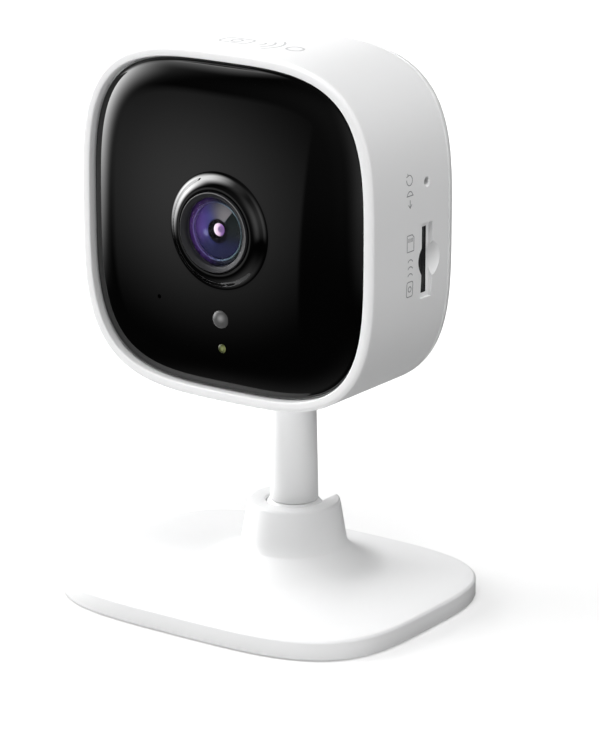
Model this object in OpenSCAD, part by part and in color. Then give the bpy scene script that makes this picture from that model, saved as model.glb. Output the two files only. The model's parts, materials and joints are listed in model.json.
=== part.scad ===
// Table-top security camera: a square rounded head on a tapered post, which
// tilts and pans on a ball held in the collar of a flat, weighted base.
// Millimetres. +X is the side with the card slot, -Y is the direction the lens
// looks, +Z is up. The origin is the middle of the underside.

/* [Base] */
// Width of the base, which is also the widest part of the camera
base_w = 67.6; // [66:0.1:72]
// Depth of the base
base_d = 54.8; // [54:0.1:60]
// Height of the flat top of the base
base_h = 3.7; // [3.6:0.1:4]
// Squareness of the base outline, where 2 is an ellipse
base_square = 3.6; // [3.2:0.1:4]
// Thickness of the rubber pad under the base
pad_h = 0.6; // [0.5:0.1:0.7]

/* [Collar and ball] */
// Distance of the post's axis behind the middle of the base
stand_y = 7.6; // [7:0.1:8]
// Height of the collar's top rim
collar_h = 15.3; // [15.1:0.1:15.6]
// Outer radius of the collar at its top rim
collar_r = 8.3; // [8:0.1:8.6]
// Width of the notch that lets the post fold back
notch_w = 9.6; // [9.4:0.1:9.8]
// Radius of the ball
ball_r = 6.5; // [6.4:0.1:6.6]
// Height of the ball's centre
ball_z = 10.5; // [10.4:0.1:10.6]

/* [Post] */
// Radius of the post at its lower end
post_low_r = 4.27; // [4.2:0.01:4.3]
// Radius of the post where it enters the head
post_high_r = 3.83; // [3.75:0.01:3.9]

/* [Head] */
// Height of the whole camera
total_h = 98.9; // [98:0.1:101]
// Width and height of the head
head_w = 60.8; // [60.4:0.1:61.4]
// Distance of the front rim in front of the base's middle
head_front = 13.2; // [13:0.1:13.6]
// Distance of the rear face behind the base's middle
head_back = 13.6; // [13.5:0.1:14]
// Squareness of the head outline, where 2 is an ellipse
head_square = 3.45; // [3.3:0.05:3.6]
// Wall of the head shell
head_wall = 1.8; // [1.7:0.1:1.9]
// Radius of the rounded rear edge
back_round = 4; // [3.5:0.1:4]

/* [Front panel] */
// Radius of the panel's gentle dome
dome_r = 270; // [250:5:300]
// Distance of the dome's crown in front of the base's middle
crown = 14.35; // [14.3:0.05:14.4]
// Radius of the raised ring's mouth round the lens
lens_mouth_r = 7; // [7:0.05:7.1]

/* [Power inlet] */
// Radius of the round well that the power plug enters
plug_well_r = 4.6; // [4.5:0.1:4.8]

/* [Hidden] */
$fn = 64;
eps = 0.01;

// Outline resolution: points round a rounded square
outline_points = 96;
hull_points = 56;

// Base stack, from the table up
lip_z = 0.3;             // the shell's lower edge stays just clear of the table
cover_top = pad_h + 0.7;
plate_top = 2.55;
pocket_top = 2.6;        // underside of the base's top wall
lip_w = 1.8;             // width of the lip round the pocket
base_round = 0.5;        // rounding of the upper edge
flare_h = 3.6;           // height of the concave flare at the collar's foot
flare_r = 18;            // where the flare starts to rise
collar_foot_r = 9.5;
seat_gap = 0.05;         // running gap between the ball and its seat
seat_r = ball_r + seat_gap;
hole_r = 5.1;            // the collar's hole round the post
cup_r = 7.4;
cup_low = pocket_top;
cup_top = 6;
notch_floor = 5.95;
keyhole_x = 20;
keyhole_y = -5;
keyhole_head_r = 3.6;
keyhole_slot_r = 1.9;
keyhole_run = 8;         // how far the slot reaches to +Y
base_screw_ring = 10.6;
base_screw_angles = [-90, 30, 150];

// Pivot and post
ball_flat_z = 15.4;      // the ball is cut flat here, under the post
post_z0 = 15.45;
post_edge = 0.2;         // chamfer of the post's lower edge
washer_top = 15.8;
stem_r = 2.2;
stem_top = 23.1;
web_top = 22.8;
post_bore_r = 2.95;
retainer_y = 4;          // screws of the plate that clamps the post
retainer_x = 8.8;

// Head
head_r = head_w / 2;
lens_z = total_h - head_r;
inner_r = head_r - head_wall;
head_bottom = lens_z - head_r;
floor_z = lens_z - inner_r;       // inside face of the head's underside
seam_y = head_back - back_round + 0.3;
seam_gap = 0.1;
panel_r = inner_r - 0.1;
panel_square = 3.57;
panel_edge_y = -(head_front - 1.5);
panel_round = 1.8;       // width of the panel's rounded border
panel_rise = 1.35;       // height of that border
panel_back_y = -10.9;
panel_wall = 1.5;
ledge = 1;
cover_wall = 1.6;
cover_face_y = head_back - cover_wall;
rear_boss = 18.6;        // offset of the four corner screws, in X and in Z
rear_boss_r = 2.4;
boss_end_y = 7.9;
post_flange_z = floor_z + 0.08;
post_top = post_flange_z + 1.42;

// Side features on the +X wall
side_y = 3.2;            // middle of the card slot and of the reset hole
reset_z = 77.8;
reset_hole_r = 0.7;
card_z = 64.3;
card_end_x = 29.5;       // outer end of the card, just below the floor of its recess
card_long = 15;
card_half_t = 0.5;
card_half_l = 5.5;
slot_front = 1.55;       // the opening round the card, wider in front of it for a fingertip
slot_back = 0.8;
slot_half_l = 5.7;
recess_half_w = 1.65;    // shallow recess round the opening
recess_half_l = 6.5;
recess_depth = 0.8;
scoop_r = 5;             // thumb scoop, a ball cut into the wall
scoop_out = 3.8;         // how far its centre stands outside the wall
scoop_back = 0.6;        // and how far behind the card

// Boards
front_board_y = -9.4;
main_board_y = 0.5;
board_t = 1.2;
board_rear = main_board_y + board_t;
board_r = 22;
standoffs = [[-13.5, 16], [13.5, 16], [13.5, -16], [-13.5, -16]];
panel_bosses = [[0, 18], [17, -11], [-17, -11]];

// Lens, along -Y
ring_front = 16.05;
barrel_r = 6;
holder_front = 9.5;
filter_pitch = 6.5;
lens_ring_in = 5.95;
lens_ring_out = 6.88;
window_low = 15.5;       // light sensor, below the lens
window_r = 1.6;
status_low = 20.7;       // status light, below the lens
status_r = 0.8;
window_gap = 0.05;       // running gap round both windows
mic_x = -13.15;
mic_low = 13.55;
mic_hole_r = 0.5;
speaker_up = 9.5;        // speaker's centre above the lens axis
speaker_r = 10;
sound_pitch = 2.3;       // spacing of the speaker's holes
sound_hole_r = 0.55;
jack_low = 16.5;         // power inlet's centre below the lens axis

// ---------- helpers ----------

// Points of a rounded rectangle |x/a|^n + |y/b|^n = 1
function outline(a, b, n, count = outline_points) = [
    for (i = [0 : count - 1])
        let (t = 360 * i / count, c = cos(t), s = sin(t))
            [a * sign(c) * pow(abs(c), 2 / n), b * sign(s) * pow(abs(s), 2 / n)]
];

// The base outline, drawn in by "inset", from z0 to z1
module base_slab(inset, z0, z1, count = outline_points)
    translate([0, 0, z0])
        linear_extrude(z1 - z0)
            polygon(outline(base_w / 2 - inset, base_d / 2 - inset, base_square, count));

// A flat shape given in X and in height above the lens, from y0 to y1
module along_y(y0, y1)
    translate([0, y1, lens_z])
        rotate([90, 0, 0])
            linear_extrude(y1 - y0)
                children();

// A rounded square of half size r, from y0 to y1
module head_slab(r, y0, y1, n = head_square, count = outline_points)
    along_y(y0, y1)
        polygon(outline(r, r, n, count));

// A round bar along Y at (x, height above the lens)
module bar_y(x, up, r, y0, y1)
    translate([x, y1, lens_z + up])
        rotate([90, 0, 0])
            cylinder(h = y1 - y0, r = r);

// A profile of [radius, distance in front] turned about the lens axis
module lathe_y()
    translate([0, 0, lens_z])
        rotate([90, 0, 0])
            rotate_extrude()
                children();

// A box from one corner to the other
module block(low, high)
    translate(low)
        cube(high - low);

// Shapes placed on the post's axis
module on_stand()
    translate([0, stand_y, 0])
        children();

// A ring from z0 to z1
module ring(r_in, r_out, z0, z1)
    difference() {
        translate([0, 0, z0]) cylinder(h = z1 - z0, r = r_out);
        translate([0, 0, z0 - 1]) cylinder(h = z1 - z0 + 2, r = r_in);
    }

// A keyhole for a screw head, its slot running to +Y
module keyhole(head, slot, z0, z1) {
    translate([0, 0, z0]) cylinder(h = z1 - z0, r = head);
    block([-slot, 0, z0], [slot, keyhole_run, z1]);
    translate([0, keyhole_run, z0]) cylinder(h = z1 - z0, r = slot);
}

module both_keyholes(head, slot, z0, z1)
    for (side = [-1, 1])
        translate([side * keyhole_x, keyhole_y, 0])
            keyhole(head, slot, z0, z1);

module at_base_screws()
    on_stand()
        for (a = base_screw_angles)
            rotate(a)
                translate([base_screw_ring, 0, 0])
                    children();

// The four corner places of the rear cover's screws
module corner_bars(r, y0, y1)
    for (sx = [-1, 1], sz = [-1, 1])
        bar_y(sx * rear_boss, sz * rear_boss, r, y0, y1);

// Height of the collar's concave foot at radius r from its axis
function flare_z(r) = base_h + flare_h * pow((flare_r - r) / (flare_r - collar_foot_r), 3);

// ---------- base ----------

module collar_solid()
    on_stand()
        rotate_extrude()
            polygon(concat(
                [[0, 2.7], [flare_r, 2.7]],
                [for (k = [0 : 9])
                    let (r = flare_r - (flare_r - collar_foot_r) * k / 9)
                        [r, flare_z(r)]],
                [[collar_r + 0.12, collar_h - 0.5], [collar_r - 0.2, collar_h - 0.12],
                 [collar_r - 0.6, collar_h], [0, collar_h]]));

module ball_socket()
    on_stand() {
        rotate_extrude()
            translate([0, ball_z])
                union() {
                    intersection() {
                        circle(r = seat_r);
                        square([seat_r, seat_r]);
                    }
                    translate([0, cup_top - ball_z]) square([seat_r, ball_z - cup_top]);
                }
        translate([0, 0, ball_z]) cylinder(h = 8, r = hole_r);
        translate([0, 0, collar_h - 0.4]) cylinder(h = 0.5, r1 = hole_r, r2 = hole_r + 0.3);
        translate([0, 0, 1]) cylinder(h = cup_top + 0.1 - 1, r = cup_r + 0.05);
    }

module base_shell()
    color("white")
        difference() {
            union() {
                base_slab(0, lip_z, base_h - base_round);
                base_slab(0.15, lip_z, base_h - 0.2);
                base_slab(base_round, lip_z, base_h);
                collar_solid();
            }
            difference() {
                base_slab(lip_w, lip_z - 1, pocket_top);
                on_stand() ring(cup_r + 0.05, cup_r + 1.2, cover_top, pocket_top + 1);
                at_base_screws() translate([0, 0, cover_top]) cylinder(h = 2, r = 1.6);
            }
            ball_socket();
            block([-notch_w / 2, stand_y, notch_floor], [notch_w / 2, stand_y + 16, collar_h + 1]);
            at_base_screws() cylinder(h = 4.4, r = 0.8);
        }

module ball_cup()
    color("dimgray")
        on_stand()
            difference() {
                translate([0, 0, cup_low]) cylinder(h = cup_top - cup_low, r = cup_r);
                translate([0, 0, ball_z]) sphere(r = seat_r);
            }

module cup_spring()
    color("silver")
        on_stand()
            rotate_extrude()
                polygon([[4.2, cup_low], [4.2, cup_low - 0.5], [7.2, cover_top], [7.2, cover_top + 0.5]]);

module weight_plate()
    color("gray")
        difference() {
            base_slab(lip_w + 0.2, cover_top, plate_top);
            on_stand() cylinder(h = 10, r = base_screw_ring + 2);
            both_keyholes(keyhole_head_r + 0.6, keyhole_slot_r + 1.1, 0, 5);
        }

module bottom_cover()
    color("gainsboro")
        difference() {
            base_slab(lip_w + 0.1, pad_h, cover_top);
            both_keyholes(keyhole_head_r, keyhole_slot_r, 0, 5);
            at_base_screws() cylinder(h = 5, r = 0.85);
            at_base_screws() cylinder(h = pad_h + 0.35, r = 1.7);
        }

module base_screws()
    color("silver")
        at_base_screws() {
            translate([0, 0, pad_h + 0.02]) cylinder(h = 0.33, r = 1.5);
            translate([0, 0, pad_h + 0.02]) cylinder(h = 3.4, r = 0.72);
        }

module foot_pad()
    color("dimgray")
        difference() {
            base_slab(lip_w + 1, 0, pad_h);
            both_keyholes(keyhole_head_r, keyhole_slot_r, -1, 5);
        }

// ---------- pivot ----------

module pivot_ball()
    color("white")
        on_stand()
            difference() {
                union() {
                    difference() {
                        translate([0, 0, ball_z]) sphere(r = ball_r);
                        block([-9, -9, ball_flat_z], [9, 9, ball_flat_z + 9]);
                    }
                    translate([0, 0, ball_z]) cylinder(h = stem_top - ball_z, r = stem_r);
                }
                translate([0, 0, stem_top - 6]) cylinder(h = 7, r = 0.85);
            }

module pan_washer()
    color("ivory")
        on_stand() ring(stem_r + 0.1, 3.7, ball_flat_z, washer_top);

module pan_spring()
    color("silver")
        on_stand() ring(stem_r + 0.05, 2.8, web_top, stem_top);

module pan_screw()
    color("silver")
        on_stand()
            difference() {
                union() {
                    translate([0, 0, stem_top]) cylinder(h = 1.4, r = 2.7);
                    translate([0, 0, stem_top - 5]) cylinder(h = 5.5, r = 0.8);
                }
                translate([0, 0, stem_top + 0.6]) cylinder(h = 2, r = 1, $fn = 6);
            }

// ---------- post ----------

module stand_post()
    color("white")
        on_stand()
            difference() {
                union() {
                    translate([0, 0, post_z0])
                        cylinder(h = post_edge + eps, r1 = post_low_r - post_edge, r2 = post_low_r);
                    translate([0, 0, post_z0 + post_edge])
                        cylinder(h = post_flange_z - post_z0 - post_edge + eps,
                                 r1 = post_low_r, r2 = post_high_r);
                    difference() {
                        translate([0, 0, post_flange_z]) cylinder(h = post_top - post_flange_z, r = 6.2);
                        block([-9, seam_y - stand_y - 0.1, 0], [9, 9, 99]);
                    }
                    translate([0, 0, post_flange_z]) cylinder(h = post_top - post_flange_z, r = post_high_r);
                }
                translate([0, 0, post_z0 - 1]) cylinder(h = 20, r = stem_r + 0.05);
                translate([0, 0, post_z0 - 1]) cylinder(h = 1 + washer_top - post_z0, r = 3.8);
                translate([0, 0, web_top]) cylinder(h = 99, r = post_bore_r);
            }

module at_retainer_screws()
    for (side = [-1, 1])
        translate([side * retainer_x, retainer_y, 0])
            children();

module post_retainer()
    color("silver")
        difference() {
            block([-11, 1.6, post_top + 0.05], [11, 9.2, post_top + 1.25]);
            on_stand() cylinder(h = 60, r = 3);
            at_retainer_screws() cylinder(h = 60, r = 0.9);
        }

module retainer_screws()
    color("silver")
        at_retainer_screws() {
            translate([0, 0, post_top + 1.25]) cylinder(h = 0.9, r = 1.6);
            translate([0, 0, floor_z + 0.1]) cylinder(h = post_top + 1.3 - floor_z, r = 0.75);
        }

// ---------- head shell and rear cover ----------

// A boss in each corner with the web that ties it to the wall
module corner_bosses()
    for (sx = [-1, 1], sz = [-1, 1]) {
        bar_y(sx * rear_boss, sz * rear_boss, rear_boss_r, panel_back_y + ledge - eps, boss_end_y);
        along_y(panel_back_y + ledge - eps, boss_end_y)
            rotate(sz * (sx > 0 ? 45 : 135))
                translate([rear_boss * sqrt(2), -0.7]) square([7.5, 1.4]);
    }

module card_opening() {
    block([inner_r - 2, side_y - slot_front, card_z - slot_half_l],
          [head_r + 2, side_y + slot_back, card_z + slot_half_l]);
    block([head_r - recess_depth, side_y - recess_half_w, card_z - recess_half_l],
          [head_r + 2, side_y + recess_half_w, card_z + recess_half_l]);
    translate([head_r + scoop_out, side_y + scoop_back, card_z]) sphere(r = scoop_r);
}

module head_shell()
    color("white")
        difference() {
            union() {
                difference() {
                    union() {
                        head_slab(head_r - 0.5, -head_front, -head_front + 1);
                        head_slab(head_r - 0.15, -head_front + 0.2, -head_front + 1);
                        head_slab(head_r, -head_front + 0.55, seam_y - seam_gap);
                    }
                    head_slab(inner_r, -head_front - 1, panel_back_y, panel_square);
                    head_slab(inner_r - ledge, panel_back_y - 1, panel_back_y + ledge + 1);
                    head_slab(inner_r, panel_back_y + ledge, seam_y + 1);
                }
                intersection() {
                    corner_bosses();
                    head_slab(inner_r + 0.5, -20, 20);
                }
                at_retainer_screws()
                    translate([0, 0, floor_z - 0.5]) cylinder(h = post_top - floor_z + 0.5, r = 1.8);
            }
            corner_bars(1.15, 0, boss_end_y + 1);
            at_retainer_screws() translate([0, 0, floor_z]) cylinder(h = 4, r = 0.8);
            on_stand() translate([0, 0, head_bottom - 2]) cylinder(h = 6, r = post_high_r + 0.12);
            translate([inner_r - 2, side_y, reset_z]) rotate([0, 90, 0]) cylinder(h = 6, r = reset_hole_r);
            card_opening();
        }

// Rounded dish of the rear cover, shrunk by "inset"
module cover_dish(inset, front_y)
    hull() {
        head_slab(head_r - inset, front_y, seam_y + 0.1, count = hull_points);
        for (a = [18 : 18 : 90])
            let (fall = (back_round - inset) * (1 - cos(a)))
                head_slab(head_r - inset - fall, seam_y,
                          head_back - back_round + (back_round - inset) * sin(a), count = hull_points);
    }

module speaker_holes()
    for (k = [0 : 3], i = [0 : max(0, 6 * k - 1)])
        let (a = k == 0 ? 0 : 60 * i / k)
            bar_y(sound_pitch * k * cos(a), speaker_up + sound_pitch * k * sin(a), sound_hole_r,
                  cover_face_y - 1, head_back + 1);

module rear_cover()
    color("white")
        difference() {
            union() {
                difference() {
                    cover_dish(0, seam_y);
                    cover_dish(cover_wall, seam_y - 1);
                }
                difference() {
                    head_slab(inner_r - 0.1, 8, seam_y + 0.6);
                    head_slab(inner_r - 1.3, 7, seam_y + 2);
                    block([-12, 0, 0], [12, seam_y, lens_z]);
                }
                corner_bars(3.2, boss_end_y + 0.05, cover_face_y + 0.3);
                bar_y(0, -jack_low, plug_well_r + 1.3, cover_face_y - 0.5, cover_face_y + 0.3);
            }
            corner_bars(1.25, 0, 20);
            corner_bars(2.2, cover_face_y - 0.7, 20);
            bar_y(0, -jack_low, plug_well_r, 5, 20);
            speaker_holes();
            on_stand() cylinder(h = post_top + 0.6, r = post_high_r + 0.12);
        }

module rear_screws()
    color("silver") {
        corner_bars(1.9, cover_face_y - 0.7, cover_face_y + 0.6);
        corner_bars(1.1, 1, cover_face_y);
    }

// ---------- front panel and lens ----------

// Convex face of the panel, moved back and drawn in by "inset"
module panel_dome(inset, back_y)
    hull() {
        head_slab(panel_r - inset, panel_edge_y + inset, back_y, panel_square, hull_points);
        for (a = [30 : 30 : 90])
            head_slab(panel_r - inset - panel_round * (1 - cos(a)),
                      panel_edge_y + inset - panel_rise * sin(a),
                      panel_edge_y + inset + eps, panel_square, hull_points);
        for (r = [6 : 5 : 21])
            head_slab(r, -crown + r * r / (2 * dome_r) + inset,
                      panel_edge_y + inset + eps, panel_square, hull_points);
    }

module lens_boss()
    lathe_y()
        polygon([[lens_mouth_r, 12.6], [10.1, 12.6], [10.1, 14.15], [9.3, 14.4],
                 [8.75, 14.85], [8.5, 15.25], [8.1, 15.6], [lens_mouth_r, 15.6]]);

module front_panel()
    color([0.03, 0.03, 0.035])
        difference() {
            union() {
                difference() {
                    panel_dome(0, panel_back_y);
                    panel_dome(panel_wall, panel_back_y + 1);
                }
                lens_boss();
                for (p = panel_bosses)
                    bar_y(p[0], p[1], 2, -13, front_board_y);
            }
            bar_y(0, 0, lens_mouth_r, -20, -5);
            bar_y(0, -window_low, window_r + window_gap, -20, -5);
            bar_y(0, -status_low, status_r + window_gap, -20, -5);
            bar_y(mic_x, -mic_low, mic_hole_r, -20, -5);
            for (p = panel_bosses)
                bar_y(p[0], p[1], 0.8, -12, -5);
        }

module lens_ring()
    color([0.12, 0.12, 0.13])
        lathe_y()
            polygon([[lens_ring_in, 15], [lens_ring_out, 15], [lens_ring_out, ring_front - 0.1],
                     [lens_ring_out - 0.1, ring_front], [6.5, ring_front], [lens_ring_in, ring_front - 0.2]]);

module front_lens()
    color([0.25, 0.2, 0.5, 0.6])
        lathe_y()
            difference() {
                intersection() {
                    translate([0, ring_front - 0.1 - 20]) circle(r = 20);
                    square([5.9, 30]);
                }
                translate([0, ring_front - 1.3 - 11]) circle(r = 11);
                square([5.9, 13.4]);
            }

module lens_barrel()
    color([0.08, 0.08, 0.09])
        lathe_y()
            polygon([[5.5, 13], [lens_ring_in, 13], [lens_ring_in, 15], [lens_ring_out, 15],
                     [lens_ring_out, 11.6], [barrel_r, 11.6],
                     [barrel_r, 2], [4.2, 2], [4.2, 12], [5.5, 12]]);

module aperture_ring()
    color("black")
        lathe_y()
            translate([1.7, 12.15]) square([3.75, 0.25]);

module inner_lenses()
    color([0.3, 0.35, 0.4, 0.6])
        for (place = [[9.2, 3], [4.6, 3]])
            lathe_y()
                intersection() {
                    translate([0, place[0] + place[1] / 2 - 12]) circle(r = 12);
                    translate([0, place[0] - place[1] / 2 + 12]) circle(r = 12);
                    square([4.15, 30]);
                }

module lens_holder()
    color([0.1, 0.1, 0.1])
        difference() {
            union() {
                bar_y(0, 0, 7.6, -holder_front, -2.6);
                along_y(-2.8, main_board_y) square([25, 14], center = true);
            }
            bar_y(0, 0, barrel_r + 0.05, -holder_front - 1, -1.7);
            along_y(-1.8, -0.6) square([22, 8.8], center = true);
            along_y(-0.7, main_board_y + 1) square([10.4, 9.6], center = true);
        }

module filter_coil()
    color("peru")
        along_y(-2.6, main_board_y)
            translate([-5, 7.3]) square([10, 4.2]);

module filter_frame()
    color("black")
        difference() {
            along_y(-1.55, -0.95)
                translate([-filter_pitch - 4.1, -4.2]) square([filter_pitch + 8.2, 8.4]);
            for (x = [0, -filter_pitch])
                bar_y(x, 0, 2.9, -3, 2);
        }

module day_filter()
    color([0.4, 0.8, 0.8, 0.6])
        bar_y(0, 0, 2.9, -1.45, -1.05);

module night_window()
    color([0.8, 0.85, 0.9, 0.6])
        bar_y(-filter_pitch, 0, 2.9, -1.45, -1.05);

module image_sensor()
    color([0.1, 0.15, 0.2])
        along_y(main_board_y - 0.9, main_board_y) square([9, 8], center = true);

module light_window()
    color("gray")
        bar_y(0, -window_low, window_r, -13.85, -11.5);

module status_light_pipe()
    color("olive")
        bar_y(0, -status_low, status_r, -13.5, -10.2);

// ---------- boards and what sits on them ----------

module front_board()
    color("darkgreen")
        difference() {
            head_slab(board_r, front_board_y, front_board_y + 1);
            bar_y(0, 0, 9.2, -20, 5);
            corner_bars(3, -20, 5);
            for (p = concat(panel_bosses, standoffs))
                bar_y(p[0], p[1], 0.8, -20, 5);
        }

module infrared_leds()
    color("lavender")
        for (side = [-1, 1])
            bar_y(side * 15, 0, 2.5, front_board_y - 2.5, front_board_y);

module sensor_chips()
    color("khaki") {
        along_y(front_board_y - 0.9, front_board_y)
            translate([0, -window_low]) square(2, center = true);
        along_y(front_board_y - 0.6, front_board_y)
            translate([0, -status_low]) square([1.2, 0.8], center = true);
    }

module microphone()
    color("gold")
        along_y(front_board_y - 1.1, front_board_y)
            translate([mic_x, -mic_low]) square([3.6, 2.8], center = true);

module microphone_boot()
    color("dimgray")
        difference() {
            bar_y(mic_x, -mic_low, 2, -12.05, front_board_y - 1.1);
            bar_y(mic_x, -mic_low, 0.6, -20, 5);
        }

module panel_screws()
    color("silver")
        for (p = panel_bosses) {
            bar_y(p[0], p[1], 1.5, front_board_y + 1, front_board_y + 1.9);
            bar_y(p[0], p[1], 0.75, front_board_y - 2.4, front_board_y + 1.5);
        }

module board_standoffs()
    color("goldenrod")
        for (p = standoffs)
            difference() {
                bar_y(p[0], p[1], 1.7, front_board_y + 1, main_board_y);
                bar_y(p[0], p[1], 0.75, -2.5, main_board_y + 1);
            }

module board_screws()
    color("silver")
        for (p = standoffs) {
            bar_y(p[0], p[1], 1.5, board_rear, board_rear + 0.9);
            bar_y(p[0], p[1], 0.7, -2, board_rear + 0.5);
        }

module main_board()
    color("darkgreen")
        difference() {
            union() {
                head_slab(board_r, main_board_y, board_rear);
                block([19, main_board_y, 56.5], [inner_r - 1, board_rear, 80.5]);
            }
            corner_bars(3, -20, 5);
            for (p = standoffs)
                bar_y(p[0], p[1], 0.8, -20, 5);
        }

module soc_shield()
    color("silver")
        block([-18, board_rear, 62], [8, board_rear + 1.8, 80]);

module heat_spreader()
    color("lightgray")
        block([-16, board_rear + 1.8, 64], [6, board_rear + 3.4, 78]);

module board_connectors()
    color("ivory") {
        block([-20, board_rear, 54], [-15, board_rear + 2.5, 58]);
        block([9.5, board_rear, 73], [12.5, board_rear + 2.5, 79]);
    }

module flex_cable()
    color("orange")
        block([3, front_board_y + 1, 85.9], [11, main_board_y, 86.1]);

module antenna_strip()
    color("goldenrod")
        block([-14, -6, 95.5], [14, 2, 96.1]);

module speaker()
    color([0.15, 0.15, 0.15])
        difference() {
            bar_y(0, speaker_up, speaker_r, cover_face_y - 4.6, cover_face_y - 0.6);
            bar_y(0, speaker_up, 8, cover_face_y - 1.4, cover_face_y);
        }

module speaker_gasket()
    color("dimgray")
        difference() {
            bar_y(0, speaker_up, speaker_r, cover_face_y - 0.6, cover_face_y);
            bar_y(0, speaker_up, 8.6, 5, 20);
        }

module dc_jack()
    color("black")
        difference() {
            block([-4.5, board_rear, lens_z - jack_low - 4.5],
                  [4.5, cover_face_y - 0.7, lens_z - jack_low + 4.5]);
            bar_y(0, -jack_low, 2.8, 2.6, 20);
        }

module dc_pin()
    color("gold")
        bar_y(0, -jack_low, 0.65, 2.6, cover_face_y - 1.5);

module card_socket()
    color("silver")
        difference() {
            block([13.2, board_rear, card_z - 7], [28, side_y + 1.3, card_z + 7]);
            block([14, side_y - card_half_t - 0.1, card_z - slot_half_l + 0.05],
                  [30, side_y + card_half_t + 0.15, card_z + slot_half_l - 0.05]);
        }

module memory_card()
    color([0.08, 0.08, 0.08])
        difference() {
            block([card_end_x - card_long, side_y - card_half_t, card_z - card_half_l],
                  [card_end_x, side_y + card_half_t, card_z + card_half_l]);
            block([14, side_y - 1, card_z + 4.2], [20, side_y + 1, card_z + 6]);
        }

module reset_switch()
    color("silver")
        difference() {
            block([22.5, board_rear, reset_z - 1.9], [26.3, board_rear + 3, reset_z + 1.9]);
            translate([24.7, side_y, reset_z]) rotate([0, 90, 0]) cylinder(h = 3, r = 1.15);
        }

module reset_plunger()
    color("ivory")
        translate([25.2, side_y, reset_z])
            rotate([0, 90, 0])
                cylinder(h = 2.7, r = 1.1);

base_shell();
ball_cup();
cup_spring();
weight_plate();
bottom_cover();
base_screws();
foot_pad();
pivot_ball();
pan_washer();
pan_spring();
pan_screw();
stand_post();
post_retainer();
retainer_screws();
head_shell();
rear_cover();
rear_screws();
front_panel();
lens_ring();
front_lens();
lens_barrel();
aperture_ring();
inner_lenses();
lens_holder();
filter_coil();
filter_frame();
day_filter();
night_window();
image_sensor();
light_window();
status_light_pipe();
front_board();
infrared_leds();
sensor_chips();
microphone();
microphone_boot();
panel_screws();
board_standoffs();
board_screws();
main_board();
soc_shield();
heat_spreader();
board_connectors();
flex_cable();
antenna_strip();
speaker();
speaker_gasket();
dc_jack();
dc_pin();
card_socket();
memory_card();
reset_switch();
reset_plunger();
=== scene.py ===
"""The looks of a table-top security camera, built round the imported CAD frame.

Sizes are in millimetres until a mesh is made, and then in metres. -Y is the
direction the lens looks, +X is the side with the card slot.
"""
import json
import math

import bmesh
import bpy
import numpy as np
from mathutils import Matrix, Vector


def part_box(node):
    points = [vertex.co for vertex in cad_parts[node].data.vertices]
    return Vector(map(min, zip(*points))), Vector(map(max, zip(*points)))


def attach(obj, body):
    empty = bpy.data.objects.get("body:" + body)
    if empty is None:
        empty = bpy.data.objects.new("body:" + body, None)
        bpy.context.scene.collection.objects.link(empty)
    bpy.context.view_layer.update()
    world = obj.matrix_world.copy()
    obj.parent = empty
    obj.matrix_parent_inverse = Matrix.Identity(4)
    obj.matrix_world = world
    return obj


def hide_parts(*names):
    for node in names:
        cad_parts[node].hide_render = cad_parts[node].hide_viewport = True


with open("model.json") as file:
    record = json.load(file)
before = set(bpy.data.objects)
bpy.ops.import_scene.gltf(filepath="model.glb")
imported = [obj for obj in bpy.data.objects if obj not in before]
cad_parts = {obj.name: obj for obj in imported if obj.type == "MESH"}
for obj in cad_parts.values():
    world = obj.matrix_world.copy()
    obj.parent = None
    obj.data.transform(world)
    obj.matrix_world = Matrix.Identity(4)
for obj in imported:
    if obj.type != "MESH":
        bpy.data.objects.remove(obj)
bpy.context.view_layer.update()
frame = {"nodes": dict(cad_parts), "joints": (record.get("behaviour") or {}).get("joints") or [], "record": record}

MM = 0.001
RING_POINTS = 240          # points round a rounded square
TURN_POINTS = 128          # points round a turned piece


# ---------- places, read from the frame ----------

def box_mm(node):
    """Lowest and highest corner of a CAD node, in millimetres."""
    low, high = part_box(node)
    return np.array(low) / MM, np.array(high) / MM


BASE_LOW, BASE_HIGH = box_mm("base_shell")
HEAD_LOW, HEAD_HIGH = box_mm("head_shell")
COVER_HIGH = box_mm("rear_cover")[1]
PANEL_LOW, PANEL_HIGH = box_mm("front_panel")
LENS_RING_LOW = box_mm("lens_ring")[0]
POST_LOW, POST_HIGH = box_mm("stand_post")
BALL_HIGH = box_mm("pivot_ball")[1]
CARD_LOW, CARD_HIGH = box_mm("memory_card")
WINDOW_LOW, WINDOW_HIGH = box_mm("light_window")
STATUS_LOW, STATUS_HIGH = box_mm("status_light_pipe")
MIC_LOW, MIC_HIGH = box_mm("microphone_boot")
SPEAKER_LOW, SPEAKER_HIGH = box_mm("speaker")
JACK_LOW, JACK_HIGH = box_mm("dc_jack")
SCREWS_LOW, SCREWS_HIGH = box_mm("rear_screws")
PLUNGER_LOW, PLUNGER_HIGH = box_mm("reset_plunger")
JOINTS = {j["name"]: j for j in frame["joints"]}

BASE_HALF_X = (BASE_HIGH[0] - BASE_LOW[0]) / 2
BASE_HALF_Y = (BASE_HIGH[1] - BASE_LOW[1]) / 2
HEAD_R = (HEAD_HIGH[0] - HEAD_LOW[0]) / 2 - 0.02     # leaves room for the printed marks
LENS_Z = (HEAD_LOW[2] + HEAD_HIGH[2]) / 2
PIVOT = np.array(JOINTS["post_tilt"]["pos_m"]) / MM
STAND_Y, BALL_Z = PIVOT[1], PIVOT[2]

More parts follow.
